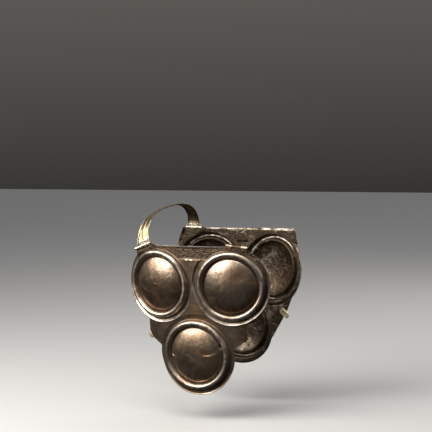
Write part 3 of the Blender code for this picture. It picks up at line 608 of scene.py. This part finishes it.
back_disc, back_low, back_cut = 0.0700, -0.1180, 0.0754
back = {
    "bend": 0.354, "wall": 0.0013, "step": 0.0022, "top": 0.0752, "band": 0.0510, "boss": 0.0,
    "discs": [(-back_disc, 0.0, 1.0), (back_disc, 0.0, 1.0), (0.0, back_low, 1.0)],
    "crest": 0.0606, "foot": 0.0661, "groove": 0.0535, "rim": 0.0760,
    "profile": ring_profile(dome=0.0520, crest=0.0606, bead=0.0110, rim=0.0760),
    "levels": np.concatenate([
        np.linspace(0.0015, 0.0470, 13), np.linspace(0.0480, 0.0542, 13), np.linspace(0.0548, 0.0669, 18)
    ]),
    "dents": back_dents,
    "holes": ((0.0643, 0.0685), (0.0395, 0.0621), (0.0120, 0.0649), (-0.0070, 0.0623), (-0.1195, 0.0690)),
    "stains": ((-0.0900, -0.0150, 0.0180),),
}
back_seat = make_seat(
    back["bend"], u=0.1050, w=0.0755, slope=0.0, leaf=0.0085, follows=0.0, lift=0.0014, knuckle=0.0100, gap=0.0150
)
back["seats"] = [back_seat]
back_halves = []
for top in ([(0.0, 0.0762), (0.0865, 0.0750), (0.1275, 0.0750)], [(0.0, 0.0762), (0.1275, 0.0780)]):
    half = np.vstack([
        divided(top, back["step"]),
        divided([top[-1], (0.1451, 0.0053)], back["step"])[1:],
        round_arc((back_disc, 0.0), back_cut, 4.0, -48.0, back["step"])[1:],
        divided([(0.1204, -0.0560), (0.1104, -0.0788), (0.0733, -0.1362)], back["step"])[1:],
        round_arc((0.0, back_low), back_cut, -14.0, -90.0, back["step"])[1:],
    ])
    half[-1, 0] = 0.0
    back_halves.append(half)
swing = Matrix.Rotation(math.radians(-4.69), 4, "X") @ Matrix.Rotation(math.pi, 4, "Z")
hung = Matrix.Translation(-hinge_frame(back, back_seat).translation)
back_place = Matrix.Translation(joints["back_hinge"]["pos_m"]) @ swing @ hung
back_plate = plate_sheet("back_sheet", back, back_halves[0], back_halves[1] * (-1, 1), back_place, plate_bronze)
drill(back_plate, [(back_place @ sheet_frame(back, u, w, 0, 0) @ along_x, band_hole) for u, w in back["holes"]])
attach(back_plate, "back")
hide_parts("back_plate")


# Shoulder plate. A narrow cast and hammered bronze strip, arched over the shoulder, with a raised border along each
# side, a low ridge down its middle and flared feet whose tongues are rolled round the two hinge pins.
def tube(half, outer, inner, sides):
    """A tube along x with chamfered outer rims, as one closed turned profile."""
    rim = 0.0003
    x = [-half, -half, -half + rim, half - rim, half, half]
    r = [inner, outer - rim, outer, outer, outer - rim, inner]
    return lathe(np.stack([x, r], axis=-1), sides, closed=True)


strap_bronze = bronze_metal(
    "strap bronze",
    ((0.32, 0.232, 0.122), (0.150, 0.101, 0.048), (0.30, 0.195, 0.085), (0.95, 0.85, 0.67)),
    0.30, (60, 0.0012, 0.00016),
)
strap_wall, strap_rise, strap_bow, fullness = 0.0013, 0.0590, 0.0020, 2.6
strip_start, foot_length = 0.0042, 0.03

# The middle line goes from pin to pin and rises as a full arch, a circle's cosine and sine raised to the same power.
start, stop = (np.array(joints[key]["pos_m"]) for key in ("front_hinge", "back_hinge"))
sweep = np.linspace(0, math.pi, 801)
level = np.cos(sweep)
t = (1 - np.sign(level) * np.abs(level) ** (2 / fullness)) / 2
arch = np.clip(np.sin(sweep), 0, 1) ** (2 / fullness)
line = start + (stop - start) * t[:, None]
line[:, 2] += arch * strap_rise
line[:, 0] -= arch * strap_bow
lean = worn_seat["slope"] * (1 - ease(t))
sideways = np.stack([np.cos(lean), 0 * t, np.sin(lean)], axis=-1)
run = np.concatenate([[0], np.cumsum(np.linalg.norm(np.diff(line, axis=0), axis=1))])
total = run[-1]
share = np.array([0.0, 0.03, 0.05, 0.07, 0.09, 0.3, 0.5, 0.7, 0.91, 0.93, 0.95, 0.97, 1.0])
width = np.array([1.39, 1.34, 1.27, 1.16, 1.07, 1.0, 0.96, 1.0, 1.07, 1.16, 1.27, 1.34, 1.39]) * 0.0112
places = np.concatenate([
    np.linspace(strip_start, foot_length, 40),
    np.linspace(0.031, total - 0.031, 150),
    np.linspace(total - foot_length, total - strip_start, 40),
])
centre, across, ahead, behind = (
    np.stack([np.interp(d, run, a[:, k]) for k in range(3)], axis=-1)
    for d, a in ((places, line), (places, sideways), (places + 0.001, line), (places - 0.001, line))
)
up = np.cross(across, ahead - behind)
up /= np.linalg.norm(up, axis=1)[:, None]
half_width = np.interp(places / total, share, width)[:, None]

# Its face is a sum of bells across the width: two borders with a trough beside each, a middle ridge between two faint
# lines, and two low bars across each foot, with slow waves of the hammer over all.
c = np.linspace(-1, 1, 61)
along = places[:, None]
to_end = np.minimum(along, total - along)
border = np.exp(-(((np.abs(c) - 0.915) / 0.075) ** 4))
trough = bell(np.abs(c) - 0.77, 0.055)
ridge = bell(c, 0.10)
lines = bell(np.abs(c) - 0.40, 0.035)
fade = ease((to_end - 0.010) / 0.012)
raised = 0.00075 * border - 0.00035 * trough + fade * (0.0008 * ridge - 0.00018 * lines) + 0.0003 * (1 - c**2)
foot_bars = bell(to_end - 0.0088, 0.0009) + bell(to_end - 0.0118, 0.0007)
raised = raised + 0.00022 * foot_bars * (np.abs(c) < 0.84)
hammer = 0.00009 * np.sin(420 * along + 3 * np.sin(5 * c)) * np.sin(9 * c + 60 * along)
height = raised + hammer - 0.0001
outer = centre[:, None] + across[:, None] * (half_width * c)[..., None] + up[:, None] * height[..., None]
quads = grid_quads(*outer.shape[:2])
strip_verts, strip_faces, rim_ids = closed_sheet(outer.reshape(-1, 3), quads, strap_wall)
# Worn bright on the borders and the ridge; the bright feet are a painted highlight over wear.
wear = np.clip(border + 0.5 * fade * ridge + 0.9 * ease((0.018 - to_end) / 0.010), 0, 1)
# The troughs and faint lines are marked dark: dirt, with painted shade in the creases.
grime_and_shade = np.clip(trough + 0.5 * fade * lines, 0, 1)
face_marks = np.stack([wear, 0 * wear, grime_and_shade, 1 + 0 * wear], axis=-1).reshape(-1, 4)
shells, marks = [(strip_verts, strip_faces)], [face_marks, face_marks, face_marks[rim_ids]]

# At each end a flat neck and a tube make the tongue that is rolled round its pin.
neck_half, neck_rows, neck_columns = 0.0073, 25, 8
neck_across, neck_up = np.linspace(-neck_half, neck_half, neck_rows), np.linspace(0.0023, 0.0062, neck_columns)
x, z = np.meshgrid(neck_across, neck_up, indexing="ij")
neck = np.stack([x, 0.00012 + 0 * x, z], axis=-1).reshape(-1, 3)
neck_shell = closed_sheet(neck, grid_quads(neck_rows, neck_columns)[:, [0, 3, 2, 1]], 0.00115)[:2]
for pin, root, side in ((start, centre[0], across[0]), (stop, centre[-1], -across[-1])):
    reach = root - pin - side * np.dot(root - pin, side)
    away = reach / np.linalg.norm(reach)
    axes = np.stack([side, np.cross(away, side), away, pin], axis=-1)
    end_frame = Matrix([*axes.tolist(), [0, 0, 0, 1]])
    for verts, faces in (neck_shell, tube(half=0.0074, outer=0.0029, inner=0.0017, sides=40)):
        shells.append((placed(verts, end_frame), faces))
        # The rolled tongues are marked bright, a painted highlight over wear.
        marks.append(np.tile([0.8, 0.0, 0.0, 1.0], (len(verts), 1)))
shoulder = solid("shoulder_strap", shells, Matrix.Identity(4), strap_bronze)
write_marks(shoulder, np.concatenate(marks))
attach(shoulder, "shoulder")
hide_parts("shoulder_plate")


# Hinges. Each is a leaf of sheet bronze whose two ends are rolled round a headed pin, riveted to a flattened corner of
# its plate with two domed rivets. The worn and back ones carry the shoulder plate and the spare one shows its bare pin.
curl, leaf_wall, notch_depth, rivet_hole = 0.00295, 0.00105, 0.0034, 0.0012


def rolled_leaf(columns, lengths, seat):
    """A leaf whose ends are rolled round a pin on x: its back face goes up the plate and on round the pin.

    Beyond the leaf's length the way goes on along a circle of the curl's radius. Quads in the notch are left out.
    """
    x, t = np.meshgrid(columns, lengths, indexing="ij")
    turn = np.clip((t - seat["leaf"]) / curl, 0, None)
    y, z = curl * np.cos(turn), np.where(turn > 0, curl * np.sin(turn), t - seat["leaf"])
    points = np.stack([x, y, z], axis=-1).reshape(-1, 3)
    quads = grid_quads(*x.shape)
    middle_x, middle_t = (values.reshape(-1)[quads].mean(axis=1) for values in (x, t))
    kept = quads[(np.abs(middle_x) > seat["notch"]) | (middle_t < seat["leaf"] - notch_depth)]
    used = np.unique(kept)
    index = np.zeros(len(points), np.int64)
    index[used] = np.arange(len(used))
    return closed_sheet(points[used], index[kept], leaf_wall)[:2]


def rivet_profile(grip):
    """A rivet along x with its domed head from 0 to 1.1 mm and its hammered tail just beyond the grip."""
    angle = np.linspace(0, math.pi / 2, 10)
    tail = [(-grip - 0.0007, 0.0009), (-grip - 0.0005, 0.0015), (-grip, 0.00185), (-grip, 0.00098), (0, 0.00098)]
    return tail + np.stack([0.00105 * np.sin(angle), 0.00204 * np.cos(angle) + 0.00002], axis=-1).tolist()


hinge_metal = bronze_metal(
    "hinge bronze",
    ((0.29, 0.205, 0.135), (0.120, 0.080, 0.052), (0.26, 0.155, 0.080), (0.86, 0.74, 0.58)),
    0.38, (70, 0.0012, 0.00022),
)
pin_metal = bronze_metal(
    "pin bronze",
    ((0.24, 0.175, 0.115), (0.100, 0.070, 0.046), (0.22, 0.14, 0.075), (0.60, 0.48, 0.34)),
    0.40, (90, 0.0008, 0.00014), marked=False,
)
pin_radius = 0.00137
pin_head = [(0.0010, 0.0014), (0.00112, 0.0019), (0.0008, 0.00225), (0.0003, 0.00232), (0.00002, 0.0022)]
for name, plate, seat, plate_place, body in (
    ("front_hinge", front, worn_seat, front_place, "front"),
    ("spare_hinge", front, spare_seat, front_place, "front"),
    ("back_hinge", back, back_seat, back_place, "back"),
):
    hinge = plate_place @ hinge_frame(plate, seat)
    end, notch, leaf = seat["end"] - 0.0002, seat["notch"], seat["leaf"]
    side_columns = np.linspace(-end, -notch - 0.0002, 19)
    columns = np.concatenate([side_columns, np.linspace(0.0004 - notch, notch - 0.0004, 17), -side_columns[::-1]])
    lengths = np.concatenate([
        np.linspace(0.0003, leaf - notch_depth, 16),
        [leaf - 0.0026, leaf - 0.0013],
        leaf + np.linspace(0, 1.64 * math.pi, 40) * curl,
    ])
    verts, faces = rolled_leaf(columns, lengths, seat)
    piece = solid(f"{name}_strip", [(verts, faces)], hinge, hinge_metal)
    # The rolled knuckles are marked bright, a painted highlight over wear, and the flat leaf is dull and darker.
    rolled = ease((verts[:, 2] + 0.0032) / 0.0014)
    write_marks(piece, np.stack([0.9 * rolled, 0.5 * (1 - rolled), 0 * rolled, np.ones(len(verts))], axis=-1))
    across, down = seat["rivet"]
    spots = [Matrix.Translation((way * across, 0.0018, -down)) @ along_x for way in (-1, 1)]
    drill(piece, [(hinge @ spot, rivet_hole) for spot in spots])
    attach(piece, body)
    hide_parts(f"{name}_leaf")
    half = seat["end"] + 0.0003
    profile = [(-half - x, r) for x, r in pin_head] + [(-half, pin_radius), (half, pin_radius)]
    profile += [(half + x, r) for x, r in pin_head[::-1]]
    pin = solid(f"{name}_rod", [lathe(profile, 32)], hinge, pin_metal)
    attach(pin, body)
    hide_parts(f"{name}_pin")
    for number, spot in enumerate(spots, 1):
        rivet = solid(f"{name}_stud_{number}", [lathe(rivet_profile(0.0029), 28)], hinge @ spot, pin_metal)
        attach(rivet, body)
        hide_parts(f"{name}_rivet_{number}")


# Flank ears. A small brassy tongue is riveted inside the lower corner of each flank and stands out past it, with two
# holes for the lace or hook that closed the cuirass at the side. All four are alike.
ear_brass = bronze_metal(
    "ear brass",
    ((0.88, 0.75, 0.47), (0.46, 0.36, 0.19), (0.70, 0.52, 0.25), (1.0, 0.94, 0.74)),
    0.44, (80, 0.0016, 0.00030),
)
ear_wall, ear_step, rings = 0.0009, 0.0005, 22
lace_x, lace_z, lace_hole = 0.0110, 0.0026, 0.0014
loop = np.vstack([
    round_arc((lace_x, 0.0), 0.0058, -90, 90, ear_step),
    round_arc((-0.0041, 0.0030), 0.0028, 90, 180, ear_step),
    round_arc((-0.0041, -0.0030), 0.0028, 180, 270, ear_step),
])
hub = np.array([0.0030, 0.0])
flat = hub + np.linspace(1 / rings, 1, rings)[None, :, None] * (loop - hub)[:, None, :]
flat = np.vstack([flat.reshape(-1, 2), hub])

# A raised lip runs round each lace hole, and the tongue is slightly dished and uneven.
x, z = flat.T
lips = sum(bell(np.hypot(x - lace_x, z - hole_z) - 0.0021, 0.0005) for hole_z in (-lace_z, lace_z))
uneven = 0.00008 * np.sin(900 * x) * np.sin(1100 * z + 1) + 7.0 * z**2
outer = np.stack([x, 0.00028 - 0.00024 * lips + uneven, z], axis=-1)
cells, fan = grid_quads(len(loop), rings, closed=True), hub_fan(len(loop), rings)
verts, faces = closed_sheet(outer, cells, ear_wall, fan)[:2]
wear = np.zeros(len(verts))
wear[2 * len(flat):] = 1.0
wear[:len(flat)] = 0.6 * lips
marks = np.stack([wear, 0 * wear, 0 * wear, 1 + 0 * wear], axis=-1)
for name, plate, plate_place, point, way, body in (
    ("front_right", front, front_place, (-0.0958, -0.0967), -1, "front"),
    ("front_left", front, front_place, (0.0958, -0.0967), 1, "front"),
    ("back_right", back, back_place, (0.1005, -0.0850), 1, "back"),
    ("back_left", back, back_place, (-0.1005, -0.0850), -1, "back"),
):
    lean = math.radians(-35.0 if way > 0 else 215.0)
    spot = plate_place @ sheet_frame(plate, point[0], point[1], 0.0012, lean)
    ear = solid(f"{name}_tongue", [(verts, faces)], spot @ Matrix.Translation((0, 0.0020, 0)), ear_brass)
    write_marks(ear, marks)
    holes = [(0.0, 0.0, rivet_hole), (lace_x, lace_z, lace_hole), (lace_x, -lace_z, lace_hole)]
    drill(ear, [(spot @ Matrix.Translation((x, 0.0025, z)) @ along_x, radius) for x, z, radius in holes])
    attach(ear, body)
    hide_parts(f"{name}_ear")
    stud_place = spot @ Matrix.Translation((0, -0.0002, 0)) @ along_x
    stud = solid(f"{name}_tongue_stud", [lathe(rivet_profile(0.0034), 28)], stud_place, pin_metal)
    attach(stud, body)
    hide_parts(f"{name}_ear_rivet")


# Floor, light and camera. A plain pale floor below the hanging cuirass, a large soft key light from the left front, a
# second lamp above, a weak fill and a weak back light, and the camera about 29 degrees to the right of straight ahead.
floor_size, floor_height = 6, -0.40
corners = [(-1, -1), (1, -1), (1, 1), (-1, 1)]
floor_mesh = bpy.data.meshes.new("floor")
floor_mesh.from_pydata([(x * floor_size, y * floor_size, floor_height) for x, y in corners], [], [(0, 1, 2, 3)])
floor = bpy.data.objects.new("floor", floor_mesh)
bpy.context.scene.collection.objects.link(floor)
paper = bpy.data.materials.new("pale paper")
paper.use_nodes = True
paper.node_tree.nodes["Principled BSDF"].inputs["Base Color"].default_value = (0.47, 0.46, 0.445, 1)
paper.node_tree.nodes["Principled BSDF"].inputs["Roughness"].default_value = 0.9
floor_mesh.materials.append(paper)
floor.visible_glossy = False
world = bpy.data.worlds.new("studio")
world.use_nodes = True
nodes, links = world.node_tree.nodes, world.node_tree.links
sky = nodes.new("ShaderNodeTexCoord")
split = nodes.new("ShaderNodeSeparateXYZ")
ramp = nodes.new("ShaderNodeValToRGB")
stops = ramp.color_ramp.elements
stops[0].position, stops[0].color = 0.43, (0.004, 0.0035, 0.003, 1)
stops[1].position, stops[1].color = 0.85, (0.34, 0.35, 0.37, 1)
stops.new(0.57).color = (0.13, 0.121, 0.112, 1)
half_up = nodes.new("ShaderNodeMapRange")
half_up.inputs["From Min"].default_value = -1
links.new(sky.outputs["Generated"], split.inputs["Vector"])
links.new(split.outputs["Z"], half_up.inputs["Value"])
links.new(half_up.outputs["Result"], ramp.inputs["Fac"])
links.new(ramp.outputs["Color"], nodes["Background"].inputs["Color"])
bpy.context.scene.world = world
target = Vector((0.105, 0.0, -0.17))
for name, place, size, power in (
    ("key", (-0.74, -1.32, 0.82), 1.60, 62),
    ("top", (0.40, -0.85, 1.50), 1.10, 22),
    ("fill", (1.7, 0.5, 0.5), 0.9, 3),
    ("back", (0.6, 1.8, 0.9), 0.9, 9),
):
    light = bpy.data.lights.new(name, "AREA")
    light.shape = "DISK"
    light.size = size
    light.energy = power
    light.color = (1.0, 0.985, 0.96)
    lamp = bpy.data.objects.new(name, light)
    lamp.location = place
    lamp.rotation_euler = (target - lamp.location).to_track_quat("-Z", "Y").to_euler()
    bpy.context.scene.collection.objects.link(lamp)
turn, rise, roll = math.radians(29.2), math.radians(7.7), -0.0261
chest, distance = Vector((0.10539, -0.09976, -0.13888)), 2.47
out = Vector((math.sin(turn) * math.cos(rise), -math.cos(turn) * math.cos(rise), math.sin(rise)))
right = Vector((math.cos(turn), math.sin(turn), 0))
up = right.cross(-out)
side = math.cos(roll) * right + math.sin(roll) * up
high = -math.sin(roll) * right + math.cos(roll) * up
spot = chest + out * distance
lens = bpy.data.cameras.new("camera")
lens.lens = 110.3
lens.sensor_width = 36
lens.shift_x = 0.0573
lens.shift_y = 0.1613
camera = bpy.data.objects.new("camera", lens)
camera.matrix_world = Matrix([[side[k], high[k], out[k], spot[k]] for k in range(3)] + [[0, 0, 0, 1]])
bpy.context.scene.collection.objects.link(camera)
bpy.context.scene.camera = camera
bpy.context.scene.view_settings.view_transform = "Standard"
